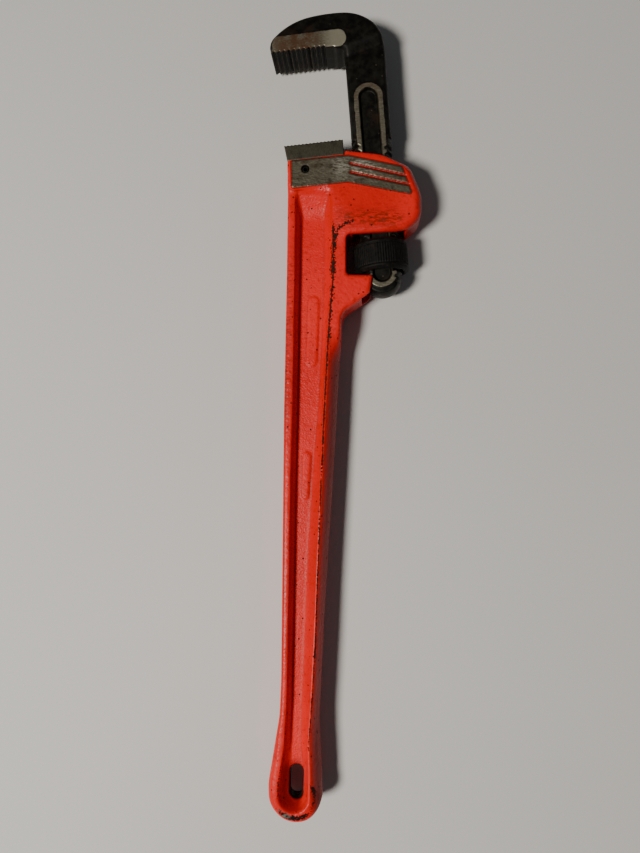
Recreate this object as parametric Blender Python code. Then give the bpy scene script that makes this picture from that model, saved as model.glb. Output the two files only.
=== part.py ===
"""Straight pipe wrench, 600 mm class, lying flat on its side.

Two frames are used. The handle frame has +Y along the handle towards the jaws, +Z up
out of the flat side, and its origin at the tail end in the middle plane. The jaw frame
is turned by JAW_TILT about +Z and has its origin on the shank's axis, at the height of
the adjusting nut: its x is called t, across the shank, and its y is called s, along it.
Everything is in metres.
"""

import math

import bmesh
import bpy
from mathutils import Matrix, Vector

# Overall place of the part: the origin is the bottom centre of its bounding box.
NUT_R = 0.0202
HANDLE_X = -0.02368
HANDLE_Y = -0.29846
MID_Z = NUT_R

# The jaws run at a small angle to the handle.
JAW_TILT = math.radians(6.0)
JAW_X = 0.0519
JAW_Y = 0.4176

# Handle casting: half thicknesses of its housing, flanges and web.
HOUSING_HALF = 0.0170
FLANGE_HALF = 0.0140
WEB_HALF = 0.0050
CAST_ROUND = 0.0022

# Shank of the hook jaw, and its thread.
SHANK_R = 0.01475
SHANK_HALF = 0.0100
THREAD_ROOT_R = 0.0127
CORE_HALF_WIDTH = 0.0072
THREAD_PITCH = 0.0050
THREAD_START = -0.0240
THREAD_END = 0.0810
SHANK_END = -0.0338
RECESS_HALF_WIDTH = 0.0070
RECESS_DEPTH = 0.0030

# Jaws.
JAW_HALF = 0.0140
HOOK_TOOTH_S = 0.1520
HOOK_TEETH = 11
HOOK_TOOTH_PITCH = 0.0037
HOOK_TOOTH_DEPTH = 0.0019
HOOK_TIP_T = -0.0698
HEEL_TOOTH_S = 0.0821
HEEL_LEFT_T = -0.0645
HEEL_RIGHT_T = -0.0210
HEEL_TEETH = 16
HEEL_TOOTH_DEPTH = 0.0009
HEEL_SEAT_S = 0.0702
HEEL_ROOT_S = 0.0520
HEEL_ROOT_T = (-0.0580, -0.0260)
HEEL_ROOT_HALF = 0.0080
PIN_T = -0.0499
PIN_S = 0.0618
PIN_R = 0.0025

# Adjusting nut.
NUT_LOW = -0.0165
NUT_HIGH = 0.0060
NUT_BORE_R = 0.01515
NUT_CHAMFER = 0.0026
NUT_BORE_CHAMFER = 0.0012
NUT_FLUTES = 36
NUT_GROOVE = 0.0006
NUT_LAND = 0.0010

# Housing bore, its side clearances let the hook jaw rock.
BORE_T = (-0.0191, 0.0190)
BORE_HALF = 0.0104
LEDGE_SLOT_T = -0.0166
LEDGE_SLOT_S = -0.0050

# Spring set behind the shank.
LEAF_T = 0.0153
LEAF_THICK = 0.0012
LEAF_BOW = 0.0008
LEAF_S = (0.0160, 0.0560)
LEAF_HALF = 0.0055
SPRING_S = 0.0360
SPRING_MEAN_R = 0.0034
SPRING_WIRE_R = 0.00055
SPRING_T = (0.0175, 0.0262)
SPRING_TURNS = 5
WELL_R = 0.0052
WELL_END_T = 0.0272
RIVET_R = 0.0013
RIVET_HEAD_R = 0.0023
RIVET_HEAD = (0.0009, 0.0014)
RIVET_LENGTH = 0.0036

GAP = 0.0003
ARC_STEP = math.radians(15)
# How much of an edge a rounded corner may use up, so that two corners never meet.
EDGE_SHARE = 0.48
# A half length that passes right through the part, and one that runs well past it.
THROUGH = 0.0300
BEYOND = 0.0900


def clear_scene():
    for item in list(bpy.data.objects):
        bpy.data.objects.remove(item, do_unlink=True)


def material(name, colour, roughness, metallic):
    made = bpy.data.materials.new(name)
    made.use_nodes = True
    shader = made.node_tree.nodes["Principled BSDF"]
    shader.inputs["Base Color"].default_value = (*colour, 1.0)
    shader.inputs["Roughness"].default_value = roughness
    shader.inputs["Metallic"].default_value = metallic
    made.diffuse_color = (*colour, 1.0)
    return made


def add_empty(name, location, turn, parent=None):
    empty = bpy.data.objects.new(name, None)
    empty.location = location
    empty.rotation_euler = (0.0, 0.0, turn)
    empty.parent = parent
    bpy.context.collection.objects.link(empty)
    return empty


def add_object(name, build_mesh, parent, look=None):
    """A new object around the mesh that build_mesh makes, child of an empty."""
    mesh = bpy.data.meshes.new(name)
    build_mesh.normal_update()
    build_mesh.to_mesh(mesh)
    build_mesh.free()
    made = bpy.data.objects.new(name, mesh)
    made.parent = parent
    if look:
        mesh.materials.append(look)
    bpy.context.collection.objects.link(made)
    return made


def smooth(item, degrees=35):
    item.data.shade_smooth()
    item.data.set_sharp_from_angle(angle=math.radians(degrees))


def round_corners(corners):
    """Outline points of a polygon whose corners (x, y, radius) are replaced by arcs."""
    points = []
    count = len(corners)
    for i, (x, y, radius) in enumerate(corners):
        here = Vector((x, y))
        before = Vector(corners[i - 1][:2]) - here
        after = Vector(corners[(i + 1) % count][:2]) - here
        if radius <= 0.0:
            points.append((x, y))
            continue
        half = before.angle(after) / 2
        longest = EDGE_SHARE * min(before.length, after.length)
        reach = min(radius / math.tan(half), longest)
        radius = reach * math.tan(half)
        bisector = (before.normalized() + after.normalized()).normalized()
        centre = here + bisector * (radius / math.sin(half))
        start = here + before.normalized() * reach - centre
        end = here + after.normalized() * reach - centre
        sweep = math.atan2(start.cross(end), start.dot(end))
        steps = max(1, math.ceil(abs(sweep) / ARC_STEP))
        for k in range(steps + 1):
            angle = sweep * k / steps
            turned = Matrix.Rotation(angle, 2) @ start
            points.append(tuple(centre + turned))
    return points


def loft(low, high, z_low, z_high):
    """A closed solid between two outlines of equal length at two heights."""
    made = bmesh.new()
    bottom = [made.verts.new((x, y, z_low)) for x, y in low]
    top = [made.verts.new((x, y, z_high)) for x, y in high]
    made.faces.new(list(reversed(bottom)))
    made.faces.new(top)
    count = len(bottom)
    for i in range(count):
        j = (i + 1) % count
        made.faces.new((bottom[i], bottom[j], top[j], top[i]))
    bmesh.ops.recalc_face_normals(made, faces=made.faces)
    return made


def prism(outline, z_low, z_high):
    return loft(outline, outline, z_low, z_high)


def block(t, s, z):
    """A box between two values along each of the three directions."""
    return prism([(t[0], s[0]), (t[1], s[0]), (t[1], s[1]), (t[0], s[1])], z[0], z[1])


def turned(profile, segments, along="Y", centre=(0.0, 0.0, 0.0)):
    """A solid of revolution from (radius, height) points, with flat ends."""
    made = bmesh.new()
    rings = []
    for radius, height in profile:
        ring = []
        for k in range(segments):
            angle = 2 * math.pi * k / segments
            a, b = radius * math.cos(angle), radius * math.sin(angle)
            place = {"Y": (b, height, a), "X": (height, a, b), "Z": (a, b, height)}[along]
            ring.append(made.verts.new(Vector(place) + Vector(centre)))
        rings.append(ring)
    made.faces.new(list(reversed(rings[0])))
    made.faces.new(rings[-1])
    for low, high in zip(rings, rings[1:]):
        for k in range(segments):
            j = (k + 1) % segments
            made.faces.new((low[k], low[j], high[j], high[k]))
    bmesh.ops.recalc_face_normals(made, faces=made.faces)
    return made


def bevel(item, width, segments=2, degrees=50):
    edge = item.modifiers.new("edge_round", "BEVEL")
    edge.width = width
    edge.segments = segments
    edge.limit_method = "ANGLE"
    edge.angle_limit = math.radians(degrees)


def combine(item, other, operation):
    """An exact Boolean of item with a helper solid, which is then only a guide."""
    step = item.modifiers.new(other.name, "BOOLEAN")
    step.object = other
    step.operation = operation
    step.solver = "EXACT"
    other.hide_render = True
    other.display_type = "WIRE"


def cut(item, other):
    combine(item, other, "DIFFERENCE")


# --- Handle casting -------------------------------------------------------------------

HANDLE_OUTLINE = (
    (-0.0182, 0.0136, 0.0194),
    (-0.0068, 0.0022, 0.0194),
    (0.0092, 0.0022, 0.0194),
    (0.0206, 0.0136, 0.0194),
    (0.0200, 0.0300, 0.0400),
    (0.0162, 0.0720, 0.0600),
    (0.0180, 0.1560, 0.4000),
    (0.0230, 0.2860, 0.3000),
    (0.0249, 0.3699, 0.0100),
    (0.0456, 0.3846, 0.0060),
    (0.0474, 0.3984, 0.0022),
    (0.0276, 0.3984, 0.0022),
    (0.0266, 0.4260, 0.0035),
    (0.0705, 0.4290, 0.0060),
    (0.0820, 0.4390, 0.0100),
    (0.0808, 0.4580, 0.0200),
    (0.0722, 0.4790, 0.0090),
    (0.0500, 0.4862, 0.0400),
    (0.0242, 0.4884, 0.0),
    (0.0239, 0.4851, 0.0),
    (-0.0176, 0.4806, 0.0020),
    (-0.0158, 0.3000, 0.3000),
    (-0.0116, 0.1040, 0.1200),
    (-0.0119, 0.0780, 0.0600),
    (-0.0189, 0.0290, 0.0300),
)

# The pocket between the flanges: y, then x of the left crest, left foot, right foot
# and right crest.
POCKET_STATIONS = (
    (0.0190, -0.0095, -0.0062, 0.0062, 0.0088),
    (0.0300, -0.0111, -0.0070, 0.0072, 0.0108),
    (0.0600, -0.0082, -0.0036, 0.0040, 0.0096),
    (0.1300, -0.0090, -0.0026, 0.0044, 0.0126),
    (0.2470, -0.0108, -0.0034, 0.0069, 0.0136),
    (0.3570, -0.0132, -0.0042, 0.0112, 0.0159),
    (0.4250, -0.0130, -0.0049, 0.0108, 0.0174),
    (0.4440, -0.0115, -0.0060, 0.0090, 0.0150),
)
# Ends of the pocket at the crests and at the feet, and how its corners are drawn in.
POCKET_TAIL_Y = (0.0108, 0.0136)
POCKET_HEAD_Y = (0.4560, 0.4500)
POCKET_TAIL_SHARE = 0.55
POCKET_TAIL_BOW = 0.0015
POCKET_HEAD_SHARE = (0.6, 0.5)
# The pocket's cutter runs on past the crests by this factor of its depth.
POCKET_OVER = 1.5


def pocket_outline(crest):
    """The pocket's outline at the flange crests, or at their feet."""
    left, right = (1, 4) if crest else (2, 3)
    tail_y = POCKET_TAIL_Y[0] if crest else POCKET_TAIL_Y[1]
    head_y = POCKET_HEAD_Y[0] if crest else POCKET_HEAD_Y[1]
    first, last = POCKET_STATIONS[0], POCKET_STATIONS[-1]
    tail = [
        (first[left] * POCKET_TAIL_SHARE, tail_y + POCKET_TAIL_BOW),
        (0.0, tail_y),
        (first[right] * POCKET_TAIL_SHARE, tail_y + POCKET_TAIL_BOW),
    ]
    head = [
        (last[right] * POCKET_HEAD_SHARE[1], head_y),
        (last[left] * POCKET_HEAD_SHARE[0], head_y),
    ]
    up = [(station[right], station[0]) for station in POCKET_STATIONS]
    down = [(station[left], station[0]) for station in reversed(POCKET_STATIONS)]
    return tail + up + head + down


def pocket(side):
    """The tapered solid between the flanges, on the upper (1) or lower (-1) side."""
    rise = (FLANGE_HALF - WEB_HALF) * POCKET_OVER
    foot = pocket_outline(False)
    over = []
    for low, high in zip(foot, pocket_outline(True)):
        over.append(tuple(Vector(low).lerp(Vector(high), POCKET_OVER)))
    if side > 0:
        return loft(foot, over, WEB_HALF, WEB_HALF + rise)
    return loft(over, foot, -WEB_HALF - rise, -WEB_HALF)


# Below this line the casting drops from the housing's thickness to the flanges'.
RELIEF_EDGE = (
    (0.0900, 0.4245),
    (0.0262, 0.4245),
    (0.0175, 0.4420),
    (0.0100, 0.4600),
    (-0.0400, 0.4640),
)
RELIEF_SLOPE = 0.0030
RELIEF_FAR_Y = -0.0200


def relief(side):
    """What is cut away to bring the beam down to the flange thickness on one side."""
    far = [(RELIEF_EDGE[-1][0], RELIEF_FAR_Y), (RELIEF_EDGE[0][0], RELIEF_FAR_Y)]
    low = far + list(RELIEF_EDGE)
    high = far + [(x, y + RELIEF_SLOPE) for x, y in RELIEF_EDGE]
    top = HOUSING_HALF + RELIEF_SLOPE
    if side > 0:
        return loft(low, high, FLANGE_HALF, top)
    return loft(high, low, -top, -FLANGE_HALF)


HANG_SLOT_X = (-0.0040, 0.0062)
HANG_SLOT_Y = (0.0162, 0.0414)


def hang_slot():
    half = (HANG_SLOT_X[1] - HANG_SLOT_X[0]) / 2
    corners = [
        (HANG_SLOT_X[0], HANG_SLOT_Y[0], half),
        (HANG_SLOT_X[1], HANG_SLOT_Y[0], half),
        (HANG_SLOT_X[1], HANG_SLOT_Y[1], half),
        (HANG_SLOT_X[0], HANG_SLOT_Y[1], half),
    ]
    return prism(round_corners(corners), -THROUGH, THROUGH)


def pin_hole():
    """The hole for the heel jaw's pin, with its clearance."""
    radius = PIN_R + GAP
    return turned([(radius, -THROUGH), (radius, THROUGH)], 20, "Z", (PIN_T, PIN_S, 0.0))


def build_handle(frame, jaw_frame, look):
    outline = round_corners(HANDLE_OUTLINE)
    handle = add_object("handle", prism(outline, -HOUSING_HALF, HOUSING_HALF), frame, look)
    for side in (1, -1):
        cut(handle, add_object(f"guide_relief_{side}", relief(side), frame))
        cut(handle, add_object(f"guide_pocket_{side}", pocket(side), frame))
    cut(handle, add_object("guide_hang_slot", hang_slot(), frame))
    bore = block(BORE_T, (0.0, BEYOND), (-BORE_HALF, BORE_HALF))
    cut(handle, add_object("guide_bore", bore, jaw_frame))
    slot = block((LEDGE_SLOT_T, BEYOND), (-BEYOND, LEDGE_SLOT_S), (-BORE_HALF, BORE_HALF))
    cut(handle, add_object("guide_ledge_slot", slot, jaw_frame))
    seat_half = HEEL_ROOT_HALF + GAP
    seat_t = (HEEL_ROOT_T[0] - GAP, HEEL_ROOT_T[1] + GAP)
    seat = block(seat_t, (HEEL_ROOT_S - GAP, BEYOND), (-seat_half, seat_half))
    cut(handle, add_object("guide_heel_seat", seat, jaw_frame))
    cut(handle, add_object("guide_pin_hole", pin_hole(), jaw_frame))
    well = [(WELL_R, LEAF_T), (WELL_R, WELL_END_T)]
    well_mesh = turned(well, 20, "X", (0.0, SPRING_S, 0.0))
    cut(handle, add_object("guide_spring_well", well_mesh, jaw_frame))
    bevel(handle, CAST_ROUND, 2, 60)
    smooth(handle)
    return handle


# --- Hook jaw -------------------------------------------------------------------------

# The hook's teeth start this far from its tip; shares of a tooth's flat and of its rise.
TOOTH_LEAD = 0.0008
TOOTH_FLAT_END = 0.30
TOOTH_NOTCH = 0.75

# The hook from the end of the thread round its back to the tip.
HOOK_BACK = (
    (0.0154, 0.1420, 0.0500),
    (0.0158, 0.1560, 0.0250),
    (0.0045, 0.1725, 0.0160),
    (-0.0060, 0.1790, 0.0150),
    (-0.0340, 0.1800, 0.0400),
    (-0.0505, 0.1762, 0.0300),
    (-0.0695, 0.1640, 0.0050),
    (-0.0702, 0.1560, 0.0020),
)

# A small groove at the root of the teeth, and the inner corner beside it.
TOOTH_ROOT = (
    (-0.0225, HOOK_TOOTH_S, 0.0),
    (-0.0205, HOOK_TOOTH_S - 0.0014, 0.0010),
    (-SHANK_R, HOOK_TOOTH_S - 0.0010, 0.0020),
)
CORE_STEP = 0.0020
# The threaded bar's flats stand this little below the neck's, so that no faces coincide.
FLAT_STEP = 1e-5

def hook_outline():
    """The hook, its neck and the shank's core, seen from above, in the jaw frame."""
    teeth = []
    first = HOOK_TIP_T + TOOTH_LEAD
    for i in range(HOOK_TEETH):
        left = first + HOOK_TOOTH_PITCH * i
        teeth.append((left, HOOK_TOOTH_S, 0.0))
        teeth.append((left + TOOTH_FLAT_END * HOOK_TOOTH_PITCH, HOOK_TOOTH_S, 0.0))
        notch = HOOK_TOOTH_S + HOOK_TOOTH_DEPTH
        teeth.append((left + TOOTH_NOTCH * HOOK_TOOTH_PITCH, notch, 0.0))
    corners = [
        *teeth,
        (first + HOOK_TOOTH_PITCH * HOOK_TEETH, HOOK_TOOTH_S, 0.0),
        *TOOTH_ROOT,
        (-SHANK_R, THREAD_END, 0.0),
        (-CORE_HALF_WIDTH, THREAD_END - CORE_STEP, 0.0),
        (-CORE_HALF_WIDTH, THREAD_START, 0.0),
        (CORE_HALF_WIDTH, THREAD_START, 0.0),
        (CORE_HALF_WIDTH, THREAD_END - CORE_STEP, 0.0),
        (SHANK_R, THREAD_END, 0.0),
        *HOOK_BACK,
    ]
    return round_corners(corners)


# Radius along one pitch of the thread, at shares of the pitch.
THREAD_PROFILE = (
    (THREAD_ROOT_R, 0.0),
    (THREAD_ROOT_R, 0.25),
    (SHANK_R, 0.45),
    (SHANK_R, 0.80),
)
DOME_STEPS = 6


def thread_bar():
    """The threaded part of the shank, with its domed end, as rings at the thread's pitch."""
    dome = THREAD_START - SHANK_END
    profile = []
    for step in range(1, DOME_STEPS):
        angle = math.pi / 2 * step / DOME_STEPS
        height = THREAD_START - dome * math.cos(angle)
        profile.append((THREAD_ROOT_R * math.sin(angle), height))
    turns = round((THREAD_END - THREAD_START) / THREAD_PITCH)
    for i in range(turns):
        for radius, share in THREAD_PROFILE:
            profile.append((radius, THREAD_START + (i + share) * THREAD_PITCH))
    profile.append((THREAD_ROOT_R, THREAD_START + turns * THREAD_PITCH))
    return turned(profile, 28)


# Region of the hook that keeps the full jaw thickness; the rest is cut to the shank's.
NECK_CUT = (
    (0.0400, 0.2000),
    (-0.0040, 0.2000),
    (-0.0105, 0.1700),
    (-0.0105, 0.1560),
    (-0.0150, 0.1475),
    (-0.0400, 0.1475),
    (-0.0400, -0.0600),
    (0.0400, -0.0600),
)


def above_or_below(outline, side, start):
    """A prism from a height on the upper (1) or lower (-1) side to well past the part."""
    if side > 0:
        return prism(outline, start, THROUGH)
    return prism(outline, -THROUGH, -start)


# The long round-ended recess along both flats of the shank.
RECESS_S = (-0.0244, 0.1199)
RECESS_ROUND = 0.00686


def shank_recess(side):
    corners = [
        (-RECESS_HALF_WIDTH, RECESS_S[0], RECESS_ROUND),
        (RECESS_HALF_WIDTH, RECESS_S[0], RECESS_ROUND),
        (RECESS_HALF_WIDTH, RECESS_S[1], RECESS_ROUND),
        (-RECESS_HALF_WIDTH, RECESS_S[1], RECESS_ROUND),
    ]
    return above_or_below(round_corners(corners), side, SHANK_HALF - RECESS_DEPTH)


def build_hook_jaw(jaw_frame, look):
    hook = add_object("hook_jaw", prism(hook_outline(), -JAW_HALF, JAW_HALF), jaw_frame, look)
    for side in (1, -1):
        neck = above_or_below(NECK_CUT, side, SHANK_HALF)
        cut(hook, add_object(f"guide_neck_{side}", neck, jaw_frame))
    flat = SHANK_HALF - FLAT_STEP
    slab = block((-THROUGH, THROUGH), (-BEYOND, THREAD_END + CORE_STEP), (-flat, flat))
    bar = add_object("guide_thread_bar", thread_bar(), jaw_frame)
    combine(bar, add_object("guide_thread_slab", slab, jaw_frame), "INTERSECT")
    combine(hook, bar, "UNION")
    for side in (1, -1):
        cut(hook, add_object(f"guide_recess_{side}", shank_recess(side), jaw_frame))
    smooth(hook, 30)
    return hook


# --- Heel jaw and its pin -------------------------------------------------------------

# Shares of the heel's tooth pitch, and how far its two ends lean in at the seat.
HEEL_FLAT_END = 0.4
HEEL_NOTCH = 0.7
HEEL_DRAFT = (0.0016, 0.0004)
# The root reaches this far up into the toothed block.
ROOT_LAP = 0.0040
PIN_SUNK = 0.0012
PIN_TIP = 0.0004

def heel_outline():
    width = HEEL_RIGHT_T - HEEL_LEFT_T
    pitch = width / HEEL_TEETH
    points = []
    for i in range(HEEL_TEETH):
        right = HEEL_RIGHT_T - pitch * i
        points.append((right, HEEL_TOOTH_S))
        points.append((right - HEEL_FLAT_END * pitch, HEEL_TOOTH_S))
        points.append((right - HEEL_NOTCH * pitch, HEEL_TOOTH_S - HEEL_TOOTH_DEPTH))
    points += [
        (HEEL_LEFT_T, HEEL_TOOTH_S),
        (HEEL_LEFT_T + HEEL_DRAFT[0], HEEL_SEAT_S),
        (HEEL_RIGHT_T - HEEL_DRAFT[1], HEEL_SEAT_S),
    ]
    return points


def build_heel_jaw(jaw_frame, look):
    heel = add_object("heel_jaw", prism(heel_outline(), -JAW_HALF, JAW_HALF), jaw_frame, look)
    root_s = (HEEL_ROOT_S, HEEL_SEAT_S + ROOT_LAP)
    root = block(HEEL_ROOT_T, root_s, (-HEEL_ROOT_HALF, HEEL_ROOT_HALF))
    combine(heel, add_object("guide_heel_root", root, jaw_frame), "UNION")
    cut(heel, add_object("guide_heel_hole", pin_hole(), jaw_frame))
    return heel


def build_pin(jaw_frame, look):
    half = HOUSING_HALF - PIN_SUNK
    profile = [
        (PIN_R - PIN_TIP, -half),
        (PIN_R, -half + PIN_TIP),
        (PIN_R, half - PIN_TIP),
        (PIN_R - PIN_TIP, half),
    ]
    mesh = turned(profile, 20, "Z", (PIN_T, PIN_S, 0.0))
    pin = add_object("heel_jaw_pin", mesh, jaw_frame, look)
    smooth(pin)
    return pin


# --- Adjusting nut --------------------------------------------------------------------


def nut_mesh():
    """A fluted ring with chamfered ends around the shank's axis."""
    low_land = NUT_LOW + NUT_CHAMFER
    high_land = NUT_HIGH - NUT_CHAMFER
    rows = (
        (NUT_BORE_R, NUT_LOW + NUT_BORE_CHAMFER, 0.0),
        (NUT_BORE_R + NUT_BORE_CHAMFER, NUT_LOW, 0.0),
        (NUT_R - NUT_CHAMFER, NUT_LOW, 0.0),
        (NUT_R, low_land, 0.0),
        (NUT_R, low_land + NUT_LAND, NUT_GROOVE),
        (NUT_R, high_land - NUT_LAND, NUT_GROOVE),
        (NUT_R, high_land, 0.0),
        (NUT_R - NUT_CHAMFER, NUT_HIGH, 0.0),
        (NUT_BORE_R + NUT_BORE_CHAMFER, NUT_HIGH, 0.0),
        (NUT_BORE_R, NUT_HIGH - NUT_BORE_CHAMFER, 0.0),
    )
    segments = 2 * NUT_FLUTES
    made = bmesh.new()
    rings = []
    for radius, height, groove in rows:
        ring = []
        for k in range(segments):
            angle = 2 * math.pi * k / segments
            reach = radius - groove * (k % 2)
            place = (reach * math.sin(angle), height, reach * math.cos(angle))
            ring.append(made.verts.new(place))
        rings.append(ring)
    for low, high in zip(rings, rings[1:] + rings[:1]):
        for k in range(segments):
            j = (k + 1) % segments
            made.faces.new((low[k], low[j], high[j], high[k]))
    bmesh.ops.recalc_face_normals(made, faces=made.faces)
    return made


# --- Spring set -----------------------------------------------------------------------


BOW_STEPS = 8


def leaf_outline():
    """A shallow bow, nearest to the shank in its middle."""
    middle = (LEAF_S[0] + LEAF_S[1]) / 2
    half = (LEAF_S[1] - LEAF_S[0]) / 2
    inner = []
    for k in range(BOW_STEPS + 1):
        u = 2 * k / BOW_STEPS - 1
        inner.append((LEAF_T + LEAF_BOW * u * u, middle + half * u))
    outer = [(t + LEAF_THICK, s) for t, s in reversed(inner)]
    return inner + outer


def build_flat_spring(frame, look):
    mesh = prism(leaf_outline(), -LEAF_HALF, LEAF_HALF)
    leaf = add_object("flat_spring", mesh, frame, look)
    profile = [(RIVET_R + GAP, 0.0), (RIVET_R + GAP, SPRING_T[1])]
    hole = turned(profile, 16, "X", (0.0, SPRING_S, 0.0))
    cut(leaf, add_object("guide_rivet_hole", hole, frame))
    return leaf


def build_rivet(frame, look):
    head_start = LEAF_T + LEAF_THICK + GAP
    profile = [
        (RIVET_R, LEAF_T),
        (RIVET_R, head_start),
        (RIVET_HEAD_R, head_start),
        (RIVET_HEAD_R, head_start + RIVET_HEAD[0]),
        (RIVET_R, head_start + RIVET_HEAD[1]),
        (RIVET_R, head_start + RIVET_LENGTH),
    ]
    mesh = turned(profile, 16, "X", (0.0, SPRING_S, 0.0))
    rivet = add_object("spring_rivet", mesh, frame, look)
    smooth(rivet)
    return rivet


POINTS_PER_TURN = 12


def build_coil_spring(frame, look):
    count = SPRING_TURNS * POINTS_PER_TURN
    curve = bpy.data.curves.new("coil_spring", "CURVE")
    curve.dimensions = "3D"
    curve.bevel_depth = SPRING_WIRE_R
    curve.bevel_resolution = 1
    curve.use_fill_caps = True
    spline = curve.splines.new("POLY")
    spline.points.add(count)
    for k in range(count + 1):
        angle = 2 * math.pi * k / POINTS_PER_TURN
        t = SPRING_T[0] + (SPRING_T[1] - SPRING_T[0]) * k / count
        s = SPRING_S + SPRING_MEAN_R * math.cos(angle)
        spline.points[k].co = (t, s, SPRING_MEAN_R * math.sin(angle), 1.0)
    curve.materials.append(look)
    coil = bpy.data.objects.new("coil_spring", curve)
    coil.parent = frame
    bpy.context.collection.objects.link(coil)
    return coil


def main():
    clear_scene()
    enamel = material("red_enamel", (0.72, 0.075, 0.035), 0.35, 0.0)
    black = material("black_oxide", (0.045, 0.043, 0.040), 0.45, 0.9)
    nut_black = material("nut_black_oxide", (0.030, 0.030, 0.030), 0.5, 0.9)
    ground = material("ground_steel", (0.36, 0.35, 0.32), 0.4, 1.0)
    pin_steel = material("pin_steel", (0.08, 0.08, 0.08), 0.5, 1.0)
    spring_steel = material("spring_steel", (0.25, 0.25, 0.26), 0.35, 1.0)

    wrench = add_empty("wrench_frame", (HANDLE_X, HANDLE_Y, MID_Z), 0.0)
    jaws = add_empty("jaw_frame", (JAW_X, JAW_Y, 0.0), JAW_TILT, wrench)
    build_handle(wrench, jaws, enamel)
    build_heel_jaw(jaws, ground)
    build_pin(jaws, pin_steel)
    build_hook_jaw(jaws, black)
    nut = add_object("adjusting_nut", nut_mesh(), jaws, nut_black)
    smooth(nut)
    build_flat_spring(jaws, spring_steel)
    build_rivet(jaws, spring_steel)
    build_coil_spring(jaws, spring_steel)


main()
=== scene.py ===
"""Looks of the straight pipe wrench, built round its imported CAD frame.

The cast and forged pieces are carved as distance fields and meshed with surface nets, so
that every edge has its fillet. Fields are worked out in millimetres, in two frames. The
handle frame has +y along the handle from its tail and z from the middle plane. The jaw
frame is turned by JAW_TILT, with t across the shank and s along it from the nut.
"""

import math

import bmesh
import bpy
import numpy as np
from mathutils import Matrix, Vector


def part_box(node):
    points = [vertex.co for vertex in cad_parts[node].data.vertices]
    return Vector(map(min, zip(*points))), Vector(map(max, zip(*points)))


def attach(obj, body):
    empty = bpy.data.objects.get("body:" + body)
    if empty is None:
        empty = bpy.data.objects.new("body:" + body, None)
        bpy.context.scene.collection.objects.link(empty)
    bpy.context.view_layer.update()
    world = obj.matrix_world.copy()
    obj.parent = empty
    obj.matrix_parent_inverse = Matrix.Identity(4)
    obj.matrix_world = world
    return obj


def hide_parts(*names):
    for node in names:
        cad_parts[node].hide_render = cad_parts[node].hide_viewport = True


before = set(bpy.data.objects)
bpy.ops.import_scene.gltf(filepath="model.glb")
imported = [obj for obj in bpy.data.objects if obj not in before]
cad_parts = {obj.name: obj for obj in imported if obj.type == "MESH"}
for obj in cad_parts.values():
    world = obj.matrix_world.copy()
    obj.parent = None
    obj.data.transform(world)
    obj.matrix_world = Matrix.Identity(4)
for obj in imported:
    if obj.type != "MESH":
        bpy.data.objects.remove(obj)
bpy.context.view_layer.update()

# The two frames' places in the world, and the gap left at the handle's tail end.
MM = 0.001
handle_low, handle_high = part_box("handle")
TAIL_END = 0.0022
TAIL_Y = handle_low.y - TAIL_END
MID_Z = (handle_low.z + handle_high.z) / 2
HANDLE_X = -0.02368
JAW_TILT = math.radians(6.0)
JAW_ORIGIN = (51.9, 417.6)

HANDLE_MATRIX = Matrix.Translation((HANDLE_X, TAIL_Y, MID_Z)) @ Matrix.Scale(MM, 4)
JAW_MATRIX = (
    HANDLE_MATRIX
    @ Matrix.Translation((*JAW_ORIGIN, 0.0))
    @ Matrix.Rotation(JAW_TILT, 4, "Z")
)


def add_object(name, data):
    """A new object in the scene."""
    made = bpy.data.objects.new(name, data)
    bpy.context.scene.collection.objects.link(made)
    return made


# --- Distance fields ------------------------------------------------------------------


def smooth_max(a, b, k):
    """The larger of two values, blended where they differ by less than k."""
    h = np.clip(0.5 + 0.5 * (a - b) / k, 0.0, 1.0)
    return b + (a - b) * h + k * h * (1.0 - h)


def smooth_min(a, b, k):
    """The smaller of two values, blended where they differ by less than k."""
    return -smooth_max(-a, -b, k)


def ramp(value, low, high):
    """A smooth step from 0 at low to 1 at high."""
    u = np.clip((value - low) / (high - low), 0.0, 1.0)
    return u * u * (3.0 - 2.0 * u)


def fade(value, low, high):
    """A smooth step from 1 at low to 0 at high."""
    return ramp(-value, -high, -low)


def near(distance, reach):
    """A bell from 1 where the distance is 0, down to 1/e at reach."""
    return np.exp(-((distance / reach) ** 2))


def round_corners(corners, arc_step=math.radians(6)):
    """Points of a polygon whose corners (x, y, radius) are replaced by arcs."""
    points = []
    for i, (x, y, radius) in enumerate(corners):
        here = Vector((x, y))
        before = Vector(corners[i - 1][:2]) - here
        after = Vector(corners[(i + 1) % len(corners)][:2]) - here
        if radius <= 0.0:
            points.append((x, y))
            continue
        half = before.angle(after) / 2
        reach = min(radius / math.tan(half), 0.48 * before.length, 0.48 * after.length)
        radius = reach * math.tan(half)
        bisector = (before.normalized() + after.normalized()).normalized()
        centre = here + bisector * (radius / math.sin(half))
        start = here + before.normalized() * reach - centre
        end = here + after.normalized() * reach - centre
        sweep = math.atan2(start.cross(end), start.dot(end))
        steps = max(1, math.ceil(abs(sweep) / arc_step))
        for k in range(steps + 1):
            turned = Matrix.Rotation(sweep * k / steps, 2) @ start
            points.append(tuple(centre + turned))
    return points


def through(points, steps=6):
    """A smooth curve through points, without its first and last stretch."""
    places = [Vector(point) for point in points]
    curve = []
    for a, b, c, d in zip(places, places[1:], places[2:], places[3:]):
        for k in range(steps):
            u = k / steps
            pull = (c - a) * u + (2 * a - 5 * b + 4 * c - d) * u**2
            pull = pull + (3 * b - a - 3 * c + d) * u**3
            curve.append(tuple(b + pull / 2))
    return curve


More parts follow.
